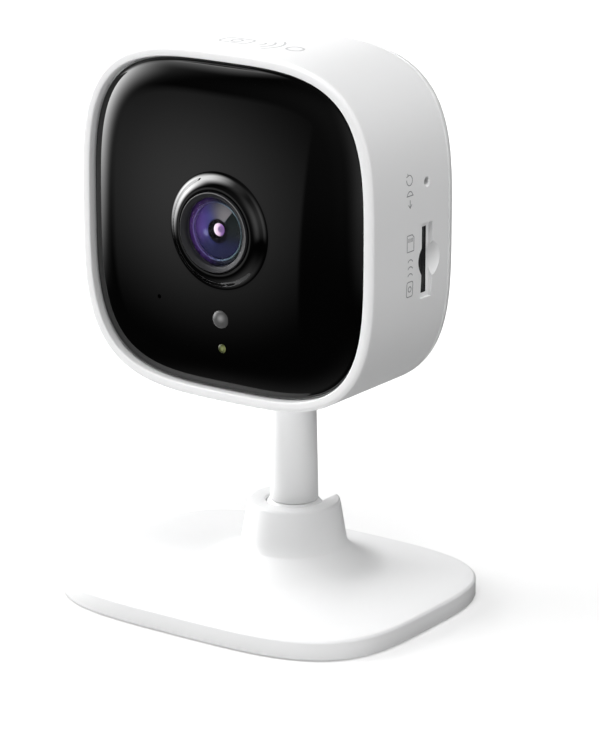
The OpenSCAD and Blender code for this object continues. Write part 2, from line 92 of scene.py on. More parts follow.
BASE_SQUARE = 3.6          # how square the outlines are, where 2 is an ellipse
HEAD_SQUARE = 3.45
BASE_TOP = 3.7             # flat top of the base
WALL = 1.8                 # wall of the head shell
COVER_WALL = 1.6
FRONT_Y = HEAD_LOW[1]
SEAM_Y = COVER_HIGH[1] - 3.7
REAR_Y = COVER_HIGH[1]
BACK_ROUND = 4.0
SIDE_Y = (PLUNGER_LOW[1] + PLUNGER_HIGH[1]) / 2     # middle of the card and of the reset hole
RESET_Z = (PLUNGER_LOW[2] + PLUNGER_HIGH[2]) / 2
CARD_Z = (CARD_LOW[2] + CARD_HIGH[2]) / 2
SLOT_FRONT, SLOT_BACK, SLOT_HALF = 1.55, 0.8, 5.7   # how far the card slot reaches from SIDE_Y and CARD_Z
RECESS_HALF_W, RECESS_HALF_L, RECESS_DEPTH = 1.65, 6.5, 0.8
SCREW_HEAD_R = 1.9
SCREW_CORNER = (SCREWS_HIGH[0] - SCREWS_LOW[0]) / 2 - SCREW_HEAD_R
SCREW_PLACES = [(sx * SCREW_CORNER, LENS_Z + sz * SCREW_CORNER) for sx in (-1, 1) for sz in (-1, 1)]


def middle_xz(low, high):
    """Middle of a box, seen from the front."""
    return (low[0] + high[0]) / 2, (low[2] + high[2]) / 2


# ---------- mesh helpers ----------

def rounded_square(half_x, half_y, square, inset=0.0, count=RING_POINTS):
    """Evenly spaced points on |x/a|^n + |y/b|^n = 1, moved inwards by inset."""
    t = np.linspace(0, 2 * np.pi, 8192, endpoint=False)
    c, s = np.cos(t), np.sin(t)
    p = np.stack([half_x * np.sign(c) * abs(c) ** (2 / square),
                  half_y * np.sign(s) * abs(s) ** (2 / square)], 1)
    size = np.array([half_x, half_y])
    normal = np.sign(p) * abs(p / size) ** (square - 1) / size
    normal /= np.linalg.norm(normal, axis=1)[:, None]
    steps = np.linalg.norm(np.diff(np.vstack([p, p[:1]]), axis=0), axis=1)
    along = np.concatenate([[0], np.cumsum(steps)])
    wanted = np.linspace(0, along[-1], count, endpoint=False)
    closed_p, closed_n = np.vstack([p, p[:1]]), np.vstack([normal, normal[:1]])
    q = np.stack([np.interp(wanted, along, closed_p[:, k]) for k in (0, 1)], 1)
    n = np.stack([np.interp(wanted, along, closed_n[:, k]) for k in (0, 1)], 1)
    n /= np.linalg.norm(n, axis=1)[:, None]
    return q - n * inset


def circle(radius, count=TURN_POINTS):
    """Evenly spaced points on a circle."""
    t = np.linspace(0, 2 * np.pi, count, endpoint=False)
    return np.stack([radius * np.cos(t), radius * np.sin(t)], 1)


def arc(centre, radius, start, end, steps=8):
    """Points on an arc in a profile, from start to end degrees."""
    angles = np.radians(np.linspace(start, end, steps + 1))
    return [(centre[0] + radius * math.cos(a), centre[1] + radius * math.sin(a)) for a in angles]


def add_object(name, data):
    """A new object in the scene."""
    obj = bpy.data.objects.new(name, data)
    bpy.context.scene.collection.objects.link(obj)
    return obj


def new_object(name, points_mm, faces, sharp=30.0):
    """A mesh object with its faces turned outwards, smooth but for its sharp edges."""
    mesh = bpy.data.meshes.new(name)
    mesh.from_pydata((np.asarray(points_mm) * MM).tolist(), [], faces)
    bm = bmesh.new()
    bm.from_mesh(mesh)
    bmesh.ops.remove_doubles(bm, verts=bm.verts, dist=1e-7)
    bmesh.ops.recalc_face_normals(bm, faces=bm.faces)
    if bm.calc_volume(signed=True) < 0:
        bmesh.ops.reverse_faces(bm, faces=bm.faces)
    bm.to_mesh(mesh)
    bm.free()
    obj = add_object(name, mesh)
    shade(obj, sharp)
    return obj


def shade(obj, sharp=30.0):
    """Smooth shading that breaks at edges sharper than the angle."""
    mesh = obj.data
    mesh.polygons.foreach_set("use_smooth", [True] * len(mesh.polygons))
    mesh.set_sharp_from_angle(angle=math.radians(sharp))
    mesh.update()


def loft(name, rings, ends="open", sharp=30.0):
    """Quads between rings of equal length. ends is open, closed for a loop, or fans to cap both ends."""
    count = len(rings[0])
    points = np.vstack(rings)
    pairs = [(i, i + 1) for i in range(len(rings) - 1)]
    if ends == "closed":
        pairs.append((len(rings) - 1, 0))
    faces = []
    for a, b in pairs:
        for k in range(count):
            nxt = (k + 1) % count
            faces.append((a * count + k, a * count + nxt, b * count + nxt, b * count + k))
    if ends == "fans":
        for ring in (0, len(rings) - 1):
            hub = len(points)
            points = np.vstack([points, rings[ring].mean(0)])
            faces += [(ring * count + k, ring * count + (k + 1) % count, hub) for k in range(count)]
    return new_object(name, points, faces, sharp)


def lathe_y(name, profile, x=0.0, z=None, closed=True, sharp=30.0, count=TURN_POINTS):
    """A profile of (radius, y) turned about a line along Y through (x, z)."""
    z = LENS_Z if z is None else z
    rings = []
    for radius, y in profile:
        c = circle(max(radius, 1e-4), count)
        rings.append(np.stack([x + c[:, 0], np.full(count, y), z + c[:, 1]], 1))
    return loft(name, rings, "closed" if closed else "fans", sharp)


def lathe_z(name, profile, y=None, closed=True, sharp=30.0, count=TURN_POINTS):
    """A profile of (radius, z) turned about the post's axis."""
    y = STAND_Y if y is None else y
    rings = []
    for radius, z in profile:
        c = circle(max(radius, 1e-4), count)
        rings.append(np.stack([c[:, 0], y + c[:, 1], np.full(count, z)], 1))
    return loft(name, rings, "closed" if closed else "fans", sharp)


def prism(name, outline, low, high, axis, sharp=30.0):
    """An outline pushed from low to high along an axis. It gives the other two coordinates in order."""
    rings = []
    for value in (low, high):
        flat = [outline[:, 0], outline[:, 1]]
        flat.insert(axis, np.full(len(outline), value))
        rings.append(np.stack(flat, 1))
    count = len(outline)
    points = np.vstack(rings)
    faces = [(k, (k + 1) % count, count + (k + 1) % count, count + k) for k in range(count)]
    faces += [tuple(range(count)), tuple(range(count, 2 * count))]
    return new_object(name, points, faces, sharp)


def box_piece(name, low, high):
    """A box between two corners, for cutting."""
    outline = np.array([[low[0], low[1]], [high[0], low[1]], [high[0], high[1]], [low[0], high[1]]], float)
    return prism(name, outline, low[2], high[2], 2)


def rod(name, centre, radius, low, high, axis, count=48):
    """A round rod along an axis, for cutting."""
    return prism(name, circle(radius, count) + np.array(centre), low, high, axis)


def join(name, objects):
    """One object from several."""
    bm = bmesh.new()
    for obj in objects:
        bm.from_mesh(obj.data)
        bpy.data.objects.remove(obj)
    mesh = bpy.data.meshes.new(name)
    bm.to_mesh(mesh)
    bm.free()
    return add_object(name, mesh)


def combine(obj, tool, operation="DIFFERENCE", sharp=30.0):
    """Cuts the tool out of obj, or adds it, and removes the tool."""
    modifier = obj.modifiers.new("combine", "BOOLEAN")
    modifier.operation = operation
    modifier.solver = "EXACT"
    modifier.object = tool
    graph = bpy.context.evaluated_depsgraph_get()
    mesh = bpy.data.meshes.new_from_object(obj.evaluated_get(graph))
    obj.modifiers.clear()
    obj.data = mesh
    bpy.data.objects.remove(tool)
    shade(obj, sharp)
    return obj


def round_edges(obj, chosen, offset, segments=3, angle=35.0, sharp=30.0):
    """Rounds the sharp edges whose two ends are both chosen."""
    bm = bmesh.new()
    bm.from_mesh(obj.data)
    limit = math.radians(angle)
    picked = [e for e in bm.edges
              if len(e.link_faces) == 2 and e.calc_face_angle(0) > limit
              and all(chosen(np.array(v.co) / MM) for v in e.verts)]
    bmesh.ops.bevel(bm, geom=picked, offset=offset * MM, segments=segments, profile=0.5,
                    affect="EDGES", clamp_overlap=True)
    bm.to_mesh(obj.data)
    bm.free()
    shade(obj, sharp)
    return obj


def set_normals(obj, rule):
    """Gives the corners their exact surface normals where rule(point, face normal) has one."""
    mesh = obj.data
    normals = [Vector(n.vector) for n in mesh.corner_normals]
    for face in mesh.polygons:
        for k in face.loop_indices:
            point = np.array(mesh.vertices[mesh.loops[k].vertex_index].co) / MM
            exact = rule(point, face.normal)
            if exact is not None:
                normals[k] = Vector(exact).normalized()
    mesh.normals_split_custom_set([tuple(n) for n in normals])
    return obj


# ---------- materials ----------

class Graph:
    """A node material in the making, with short ways to add what the materials share."""

    def __init__(self, name):
        self.material = bpy.data.materials.new(name)
        self.material.use_nodes = True
        self.nodes = self.material.node_tree.nodes
        self.links = self.material.node_tree.links
        self.shader = self.nodes["Principled BSDF"]
        self.place = self.add("TexCoord", {}, "Object")

    def put(self, node, values):
        """Links a node's inputs to sockets, or sets them to numbers, vectors and colours."""
        for name, value in values.items():
            socket = node.inputs[name]
            if isinstance(value, bpy.types.NodeSocket):
                self.links.new(value, socket)
            elif socket.type == "RGBA":
                socket.default_value = (*value, 1)
            else:
                socket.default_value = value

    def add(self, kind, values, output, **settings):
        """A new node with its settings and inputs. Gives one of its outputs."""
        node = self.nodes.new("ShaderNode" + kind)
        for name, value in settings.items():
            setattr(node, name, value)
        self.put(node, values)
        return node.outputs[output]

    def noise(self, scale, detail=2.0, stretch=None):
        """A noise texture over the object, in waves per metre."""
        place = self.place
        if stretch:
            place = self.add("Mapping", {"Vector": place, "Scale": stretch}, "Vector")
        return self.add("TexNoise", {"Vector": place, "Scale": scale, "Detail": detail}, "Fac")

    def spread(self, value, low, high, start=0.3, end=0.7, kind="LINEAR"):
        """Maps start..end of a value to low..high."""
        return self.add("MapRange", {"Value": value, "From Min": start, "From Max": end,
                                     "To Min": low, "To Max": high}, "Result", interpolation_type=kind)

    def smooth(self, value, start, end, low, high):
        """Maps start..end to low..high with soft ends."""
        return self.spread(value, low, high, start, end, "SMOOTHSTEP")

    def maths(self, operation, first, second):
        return self.add("Math", {0: first, 1: second}, 0, operation=operation)

    def mix(self, factor, below, above):
        """Lays a colour or a colour socket over another by a factor."""
        return self.add("Mix", {"Factor": factor, "A": below, "B": above}, "Result", data_type="RGBA")

    def ramp(self, value, stops):
        """A colour ramp from (position, colour) pairs."""
        node = self.nodes.new("ShaderNodeValToRGB")
        elements = node.color_ramp.elements
        while len(elements) < len(stops):
            elements.new(0.5)
        for element, (position, colour) in zip(elements, stops):
            element.position = position
            element.color = (*colour, 1)
        self.put(node, {"Fac": value})
        return node.outputs["Color"]

    def turned(self, x0=0.0, z0=0.0):
        """Distance in millimetres from a point near the lens axis, and the offsets in x and z."""
        centred = self.add("Mapping", {"Vector": self.place, "Location": (-x0, 0, -LENS_Z - z0),
                                       "Scale": (1 / MM, 0, 1 / MM)}, "Vector")
        return (self.add("VectorMath", {0: centred}, "Value", operation="LENGTH"),
                self.add("SeparateXYZ", {"Vector": centred}, "X"),
                self.add("SeparateXYZ", {"Vector": centred}, "Z"))

    def bump(self, height, depth_mm):
        """Bump of a real depth."""
        normal = self.add("Bump", {"Strength": 1.0, "Distance": depth_mm * MM, "Height": height}, "Normal")
        self.put(self.shader, {"Normal": normal})

    def finish(self, colour, roughness, more=None):
        """Fills the shader's inputs and gives the material."""
        self.put(self.shader, {"Base Color": colour, "Roughness": roughness, **(more or {})})
        return self.material


def moulded(name, light, dark, roughness, grain=1800.0, depth=0.004):
    """Moulded plastic: a fine grain, faint mottling and slightly uneven gloss."""
    g = Graph(name)
    fine = g.noise(grain, 3.0)
    g.bump(fine, depth)
    return g.finish(g.mix(g.noise(60.0, 3.0), dark, light), g.spread(fine, *roughness))


def metal(name, light, dark, roughness, stretch=(1, 1, 12), depth=0.003):
    """Metal with drawn or turned marks."""
    g = Graph(name)
    marks = g.noise(700.0, 4.0, stretch)
    g.bump(marks, depth)
    return g.finish(g.mix(marks, dark, light), g.spread(marks, *roughness), {"Metallic": 1.0})


def panel_material():
    """Glossy black plastic with the faintest waviness and fingerprints."""
    g = Graph("panel_gloss")
    smear = g.noise(45.0, 5.0)
    g.bump(g.noise(120.0, 1.0), 0.0006)
    return g.finish(g.mix(smear, (0.0003, 0.0003, 0.0003), (0.0005, 0.0005, 0.0005)),
                    g.spread(smear, 0.018, 0.035), {"IOR": 1.5})


def glass_material():
    """Clear coated front glass."""
    g = Graph("lens_glass")
    dust = g.noise(900.0, 2.0)
    return g.finish(g.mix(dust, (0.93, 0.93, 1.0), (0.97, 0.97, 1.0)), g.spread(dust, 0.0, 0.02, 0.5, 0.75),
                    {"Transmission Weight": 1.0, "IOR": 1.06})


# colours of the inner lens's painted reflections; BLACK is the pupil's painted shade
VIOLET, INDIGO, DEEP_BLUE = (0.040, 0.019, 0.088), (0.044, 0.026, 0.125), (0.022, 0.024, 0.085)
NAVY, GREEN_BLACK, BLACK = (0.0075, 0.0085, 0.026), (0.0045, 0.0065, 0.0055), (0.0008, 0.0008, 0.0012)


def painted_reflection_material():
    """Inner lens with painted reflections: violet and blue to one side, dark green to the other, navy towards the
    bottom, a pale painted reflection in a sector above the pupil, a faint pale blue painted glint beside it, and
    the pupil painted black as shade of the aperture.
    """
    g = Graph("lens_painted_reflections")
    radius, x, z = g.turned()
    angle = g.maths("ARCTAN2", x, z)
    # painted reflection: violet and blue to the left, dark green to the right
    colour = g.ramp(g.spread(x, 0.0, 1.0, -5.0, 5.0),
                    [(0.02, VIOLET), (0.17, INDIGO), (0.34, DEEP_BLUE),
                     (0.5, NAVY), (0.7, GREEN_BLACK), (1.0, GREEN_BLACK)])
    # painted reflection: navy towards the bottom
    colour = g.mix(g.smooth(z, 0.2, -3.2, 0.0, 0.9), colour, NAVY)
    # painted reflection: a pale sector above the pupil
    reflected_sector = g.maths("MULTIPLY", g.smooth(angle, -0.75, 0.5, 0.0, 1.0), g.smooth(angle, 0.64, 0.70, 1.0, 0.0))
    colour = g.mix(reflected_sector, colour, (0.10, 0.095, 0.092))
    # painted glint: a faint pale blue patch left of the pupil and a little below
    glint_spot = g.turned(-2.55, -0.6)[0]
    colour = g.mix(g.smooth(glint_spot, 0.9, 0.0, 0.0, 0.5), colour, (0.18, 0.19, 0.30))
    # painted shade: the pupil, black where the aperture's dark opening would be
    colour = g.mix(g.smooth(radius, 2.25, 1.95, 0.0, 1.0), colour, BLACK)
    mist = g.noise(500.0, 3.0)
    colour = g.mix(g.spread(mist, 0.0, 0.06), colour, (0.02, 0.02, 0.03))
    return g.finish(colour, g.spread(mist, 0.12, 0.2), {"Specular IOR Level": 0.04})


def lens_ring_material():
    """Black turned ring whose fine outer chamfer carries a painted highlight, brighter towards the top and right.
    """
    g = Graph("lens_ring_black")
    radius, x, z = g.turned()
    grain = g.noise(1800.0, 3.0)
    chamfer = g.maths("MULTIPLY", g.smooth(radius, 6.68, 6.76, 0.0, 1.0),
                      g.smooth(radius, 6.84, 6.87, 1.0, 0.0))
    highlight_fade = g.smooth(g.maths("ADD", g.maths("MULTIPLY", x, 0.6), z), -4.0, 5.0, 0.05, 1.0)
    colour = g.mix(grain, (0.018, 0.018, 0.02), (0.024, 0.024, 0.026))
    # painted highlight on the outer chamfer, fading towards the bottom left
    colour = g.mix(g.maths("MULTIPLY", chamfer, highlight_fade), colour, (0.16, 0.16, 0.16))
    g.bump(grain, 0.003)
    return g.finish(colour, g.spread(grain, 0.4, 0.5), {"Specular IOR Level": 0.1})


def retainer_material():
    """Ring that holds the inner lens, with painted reflections, violet to one side and dark to the other, and a
    fine painted highlight along its inner edge.
    """
    g = Graph("lens_retainer")
    radius, x, _ = g.turned()
    across = g.spread(x, 0.0, 1.0, -6.0, 6.0)
    # painted reflection: violet to the left, dark to the right
    colour = g.ramp(across, [(0.0, (0.042, 0.018, 0.085)), (0.3, (0.022, 0.011, 0.05)),
                             (0.5, (0.007, 0.007, 0.015)), (0.8, (0.006, 0.008, 0.007)),
                             (1.0, (0.006, 0.008, 0.007))])
    # painted highlight along the inner edge: pale violet to the left, pale teal towards the right
    edge_highlight = g.ramp(across, [(0.0, (0.10, 0.07, 0.20)), (0.3, (0.05, 0.04, 0.11)), (0.5, (0.03, 0.04, 0.07)),
                           (0.75, (0.07, 0.11, 0.12)), (1.0, (0.02, 0.03, 0.03))])
    colour = g.mix(g.smooth(radius, 5.14, 5.0, 0.0, 1.0), colour, edge_highlight)
    marks = g.noise(500.0, 3.0)
    colour = g.mix(g.spread(marks, 0.0, 0.08), colour, (0.015, 0.015, 0.02))
    return g.finish(colour, g.spread(marks, 0.2, 0.35), {"Specular IOR Level": 0.08})


def glint_bead_material():
    """Small bead deep in the lens that stands in for a reflection: a painted pinkish white highlight round a
    purple core, glowing faintly.
    """
    g = Graph("lens_glint_bead")
    grain = g.noise(900.0, 3.0)
    colour = g.ramp(g.spread(g.turned()[1], 0.0, 1.0, -0.7, 1.4),
                    [(0.0, (0.46, 0.40, 0.43)), (0.5, (0.34, 0.24, 0.30)),
                     (0.72, (0.13, 0.06, 0.18)), (1.0, (0.08, 0.035, 0.13))])
    core = g.turned(0.66, 0.42)[0]
    colour = g.mix(g.smooth(core, 0.72, 0.32, 0.0, 1.0), colour, (0.06, 0.028, 0.09))
    colour = g.mix(g.spread(grain, 0.0, 0.1), colour, (0.4, 0.35, 0.4))
    # painted highlight that also glows, though it is no lamp
    return g.finish(colour, g.spread(grain, 0.1, 0.2), {"Emission Color": colour, "Emission Strength": 0.25,
                                                        "Specular IOR Level": 0.1})


def window_material(name, low, high, dark, bright, glint_spot, reach, rim):
    """Smoky window over a light or a sensor: a soft painted highlight off its middle, and painted light making one
    side's edge paler.
    """
    g = Graph(name)
    x, z = middle_xz(low, high)
    z -= LENS_Z
    radius = (high[0] - low[0]) / 2
    mist = g.noise(500.0, 3.0)
    colour = g.mix(mist, tuple(c * 0.85 for c in dark), dark)
    # painted highlight: a soft bright patch off the middle
    near = g.turned(x + glint_spot[0], z + glint_spot[1])[0]
    colour = g.mix(g.smooth(near, reach, 0.0, 0.0, 1.0), colour, bright)
    # painted light: paler towards one side's edge
    lit_edge_distance = g.turned(x - rim[0], z - rim[1])[0]
    colour = g.mix(g.smooth(lit_edge_distance, radius, radius * 1.35, 0.0, 0.8), colour, bright)
    return g.finish(colour, g.spread(mist, 0.2, 0.3), {"Specular IOR Level": 0.1})


def board_material():
    """Green solder mask with copper tracks that show faintly."""
    g = Graph("board_green")
    cells = g.add("TexVoronoi", {"Vector": g.place, "Scale": 420.0}, "Distance", distance="MANHATTAN")
    tracks = g.spread(cells, 0.0, 1.0, 0.45, 0.6)
    g.bump(tracks, 0.03)
    return g.finish(g.mix(tracks, (0.01, 0.12, 0.05), (0.03, 0.25, 0.1)), g.spread(tracks, 0.25, 0.4))


# light and dark colour, lowest and highest roughness, then grain in waves per metre and its depth in mm
PLASTICS = {
    "white_shell": ((0.86, 0.862, 0.865), (0.835, 0.837, 0.84), (0.36, 0.46)),
    "grey_plastic": ((0.62, 0.62, 0.63), (0.56, 0.56, 0.57), (0.45, 0.6)),
    "black_plastic": ((0.02, 0.02, 0.022), (0.012, 0.012, 0.013), (0.45, 0.6)),
    "pad_rubber": ((0.035, 0.035, 0.036), (0.022, 0.022, 0.022), (0.75, 0.9), 900.0, 0.04),
    "chip_plastic": ((0.05, 0.05, 0.055), (0.035, 0.035, 0.04), (0.5, 0.65)),
    "card_black": ((0.02, 0.02, 0.021), (0.012, 0.012, 0.013), (0.35, 0.5)),
    "button_plastic": ((0.16, 0.16, 0.16), (0.12, 0.12, 0.12), (0.4, 0.5)),
    "printed_mark": ((0.30, 0.30, 0.31), (0.24, 0.24, 0.25), (0.5, 0.6)),
    "pale_mark": ((0.50, 0.50, 0.51), (0.46, 0.46, 0.47), (0.4, 0.5)),
}
METALS = {
    "steel": ((0.62, 0.62, 0.64), (0.5, 0.5, 0.52), (0.25, 0.4)),
    "aluminium": ((0.8, 0.8, 0.82), (0.7, 0.7, 0.72), (0.3, 0.45)),
    "brass": ((0.8, 0.62, 0.28), (0.65, 0.48, 0.2), (0.25, 0.4)),
}
# window's box, dark and bright colour, place of the painted highlight, its reach, and which way the edge is paler
# from painted light
WINDOWS = {
    "light_window_grey": (WINDOW_LOW, WINDOW_HIGH, (0.085, 0.085, 0.085), (0.26, 0.26, 0.26),
                          (0.4, 0.35), 0.95, (-0.55, -0.3)),
    "status_light": (STATUS_LOW, STATUS_HIGH, (0.035, 0.042, 0.012), (0.24, 0.27, 0.11),
                     (0.3, 0.05), 0.75, (0.3, 0.0)),
}
MATERIALS = {"panel_gloss": panel_material(), "lens_ring_black": lens_ring_material(),
             "lens_glass": glass_material(), "board_green": board_material()}
for make, table in ((moulded, PLASTICS), (metal, METALS), (window_material, WINDOWS)):
    MATERIALS.update({name: make(name, *values) for name, values in table.items()})


def dress(obj, slot, body, *nodes, material=None):
    """Gives a new piece its material, the slot's unless one is given, puts it on its body and hides the CAD nodes
    it stands in for.
    """
    obj.data.materials.clear()
    obj.data.materials.append(material or MATERIALS[slot])
    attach(obj, body)
    if nodes:
        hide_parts(*nodes)
    return obj


def dress_cad_nodes():
    """Gives every CAD node that stays its slot's material. Its mesh isn't changed."""
    for part in frame["record"]["subparts"]:
        for slot in frame["nodes"][part["node"]].material_slots:
            slot.material = MATERIALS[part["material_slot"]]


# ---------- camera, lights and floor ----------

CAMERA_AZIMUTH = 35.25
CAMERA_ELEVATION = 16.31
CAMERA_DISTANCE = 0.5951
CAMERA_AIM = Vector((0.00443, 0.00313, 0.04174))
CAMERA_LENS = 169.7


def direction(azimuth, elevation):
    """Unit vector from the object towards a place; azimuth 0 is the front and 90 is +X."""
    a, e = math.radians(azimuth), math.radians(elevation)
    return Vector((math.sin(a) * math.cos(e), -math.cos(a) * math.cos(e), math.sin(e)))


def look_from(obj, place, target):
    obj.location = place
    obj.rotation_euler = (target - place).to_track_quat("-Z", "Y").to_euler()


def make_camera():
    data = bpy.data.cameras.new("camera")
    data.lens = CAMERA_LENS
    data.sensor_width = 36.0
    data.clip_start = 0.01
    data.clip_end = 20.0
    camera = add_object("camera", data)
    place = CAMERA_AIM + direction(CAMERA_AZIMUTH, CAMERA_ELEVATION) * CAMERA_DISTANCE
    look_from(camera, place, CAMERA_AIM)
    bpy.context.scene.camera = camera


def softbox(name, azimuth, elevation, power):
    """A soft square light that reflections don't see."""
    data = bpy.data.lights.new(name, "AREA")
    data.size = 0.5
    data.energy = power
    light = add_object(name, data)
    aim = Vector((0, 0, 0.05))
    look_from(light, aim + direction(azimuth, elevation), aim)    # one metre away
    light.visible_glossy = False
    light.visible_camera = False


def floor_material():
    """A white table that glows more away from the object, so that the picture fades to white."""
    g = Graph("floor")
    colour = g.mix(g.noise(8.0, 2.0), (0.89, 0.89, 0.89), (0.91, 0.91, 0.91))
    distance = g.add("VectorMath", {0: g.place}, "Value", operation="LENGTH")
    return g.finish(colour, 0.9, {"Emission Strength": g.spread(distance, 0.09, 0.72, 0.06, 0.3),
                                  "Emission Color": (1, 1, 1), "Specular IOR Level": 0.0})


def glow(g, way, azimuth, elevation, size, strength, tall=1.0):
    """A soft round glow in one direction, gone at an angle of size; tall stretches it upright."""
    apart = g.add("VectorMath", {0: way, 1: direction(azimuth, elevation)}, "Vector", operation="SUBTRACT")
    squash = g.add("VectorMath", {0: apart, 1: (1, 1, 1 / tall)}, "Vector", operation="MULTIPLY")
    distance = g.add("VectorMath", {0: squash}, "Value", operation="LENGTH")
    return g.smooth(distance, 2 * math.sin(math.radians(size) / 2), 0.0, 0.0, strength)


# soft lights that only reflections see: azimuth, elevation, size and strength
REFLECTED_LIGHTS = {
    "left": (-97, 18, 58, 8.5),
    "corner": (-70, 9, 27, 12.0),
    "right": (30, 10, 46, 1.2),
    "top_left": (-72, 49, 40, 8.5),
    "top_front": (-10, 52, 36, 0.4),
    "overhead": (20, 85, 50, 0.5),
    "front": (-15, 4, 30, 0.1),
}
TABLE_LIGHT = (0, -72, 50, 0.5)
FRONT_CARD = (-38.5, -11.5, 17, 0.68, 0.74)
CARD_EDGE = ((-26.5, -6.0), (-28.9, -19.0))     # two directions on the line where the card ends
FAINT_GLOW = 0.015


def studio_material():
    """The studio round the camera as reflections see it, with one card that ends in a straight edge."""
    g = Graph("reflected_studio")
    way = g.add("VectorMath", {0: g.place}, "Vector", operation="NORMALIZE")
    first, *others = [glow(g, way, *light) for light in REFLECTED_LIGHTS.values()]
    lights = first
    for other in others:
        lights = g.maths("ADD", lights, other)
    up = g.add("SeparateXYZ", {"Vector": way}, "Z")
    lights = g.maths("MULTIPLY", lights, g.smooth(up, -0.36, -0.16, 0.0, 1.0))
    across = direction(*CARD_EDGE[1]).cross(direction(*CARD_EDGE[0])).normalized()
    side = g.add("VectorMath", {0: way, 1: across}, "Value", operation="DOT_PRODUCT")
    card = g.maths("MULTIPLY", glow(g, way, *FRONT_CARD), g.spread(side, 0.0, 1.0, -0.003, 0.003))
    total = g.maths("ADD", lights, card)
    for more in (glow(g, way, *TABLE_LIGHT), FAINT_GLOW):
        total = g.maths("ADD", total, more)
    surface = g.add("Emission", {"Strength": total}, "Emission")
    g.put(g.nodes["Material Output"], {"Surface": surface})
    g.nodes.remove(g.shader)
    return g.material


def make_reflected_studio():
    """A large sphere that only reflections and the lens glass see."""
    bm = bmesh.new()
    bmesh.ops.create_uvsphere(bm, u_segments=48, v_segments=24, radius=4.0)
    mesh = bpy.data.meshes.new("reflected_studio")
    bm.to_mesh(mesh)
    bm.free()
    mesh.materials.append(studio_material())
    dome = add_object("reflected_studio", mesh)
    dome.location = (0, 0, LENS_Z * MM)
    dome.visible_camera = False
    dome.visible_diffuse = False
    dome.visible_shadow = False


# azimuth, elevation, power in watts of each soft light on the white plastic
SOFTBOXES = {
    "left_back": (-120, 5, 6.8),
    "left": (-90, 5, 4.6),
    "key": (-60, 30, 4.4),
    "key_high": (-60, 60, 1.1),
    "right": (90, 30, 2.7),
    "front_high": (30, 60, 3.7),
    "back_high": (120, 60, 1.9),
    "under_left": (-90, -30, 3.5),
    "under_front": (0, -30, 4.0),
    "under_right": (60, -30, 1.8),
    "top": (0, 90, 1.3),
    "front": (0, 5, 1.0),
}


def make_stage():
    scene = bpy.context.scene
    scene.view_settings.view_transform = "Standard"
    world = bpy.data.worlds.new("studio")
    world.use_nodes = True
    background = world.node_tree.nodes["Background"].inputs
    background["Color"].default_value = (1, 1, 1, 1)
    background["Strength"].default_value = 0.06
    scene.world = world

    reach = 3.0
    mesh = bpy.data.meshes.new("floor")
    mesh.from_pydata([(-reach, -reach, 0), (reach, -reach, 0), (reach, reach, 0), (-reach, reach, 0)],
                     [], [(0, 1, 2, 3)])
    mesh.materials.append(floor_material())
    floor = add_object("floor", mesh)
    floor.visible_glossy = False
    floor.visible_diffuse = False
    floor.visible_shadow = False
    make_reflected_studio()
    for name, (azimuth, elevation, power) in SOFTBOXES.items():
        softbox(name, azimuth, elevation, power)


# ---------- base ----------

def base_ring(inset, z):
    flat = rounded_square(BASE_HALF_X, BASE_HALF_Y, BASE_SQUARE, inset)
    return np.column_stack([flat, np.full(len(flat), z)])


def base_angles():
    """The outline's points, as angles seen from the post's axis."""
    edge = base_ring(0, 0)
    return np.arctan2(edge[:, 1] - STAND_Y, edge[:, 0])


def collar_ring(radius, z, angles):
    return np.column_stack([radius * np.cos(angles), STAND_Y + radius * np.sin(angles),
                            np.full(len(angles), z)])


def make_base_shell():
    """One moulding: flat foot, concave flare, collar, and the ball's seat inside."""
    lip_z, flare_r, foot_r, flare_h = BASE_LOW[2], 18.0, 9.5, 3.6
    hole_r, collar_r, collar_top, seat_r = 5.1, 8.3, BASE_HIGH[2], 6.55
    edge_round = 0.55
    angles = base_angles()
    profile = [(hole_r, 14.62), (hole_r, 14.9)]
    profile += arc((hole_r + 0.3, collar_top - 0.3), 0.3, 180, 90, 5)
    profile += arc((collar_r - 0.62, collar_top - 0.55), 0.55, 90, 8, 8)
    wall_top = profile[-1]
    profile += [tuple(np.array(wall_top) + (np.array([foot_r - 0.05, 7.6]) - wall_top) * k / 6)
                for k in range(1, 6)]
    for k in range(25):
        r = foot_r + (flare_r - foot_r) * (k / 24) ** 1.4
        profile.append((r, BASE_TOP + flare_h * ((flare_r - r) / (flare_r - foot_r)) ** 3))
    rings = [collar_ring(r, z, angles) for r, z in profile]
    top_start, top_end = rings[-1], base_ring(edge_round, BASE_TOP)
    rings += [top_start + (top_end - top_start) * k / 10 for k in range(1, 10)]
    rings += [base_ring(edge_round - p[0], BASE_TOP - edge_round + p[1])
              for p in arc((0, 0), edge_round, 90, 0, 8)]
    rings += [base_ring(0, 2.2), base_ring(0, lip_z + 0.25), base_ring(0.08, lip_z + 0.07),
              base_ring(0.25, lip_z), base_ring(1.8, lip_z), base_ring(1.8, 2.6)]
    inner = [(8.65, 2.6), (8.65, 1.3), (7.45, 1.3), (7.45, 6.1), (seat_r, 6.1), (seat_r, BALL_Z)]
    top_angle = math.degrees(math.acos(hole_r / seat_r))
    inner += arc((0, BALL_Z), seat_r, 0, top_angle, 8)[1:-1]
    rings += [collar_ring(r, z, angles) for r, z in inner]
    obj = loft("base_shell_moulding", rings, "closed")
    notch_half, notch_floor = 4.8, 5.95
    notch = box_piece("notch", (-notch_half, STAND_Y, notch_floor), (notch_half, STAND_Y + 16, 20))
    combine(obj, notch)

    def on_notch(p):
        on_side = abs(abs(p[0]) - notch_half) < 0.004
        return on_side and p[1] > STAND_Y and p[2] > notch_floor - 0.01 and p[2] < collar_top + 0.01

    round_edges(obj, on_notch, 0.22)
    return dress(obj, "white_shell", "base", "base_shell")


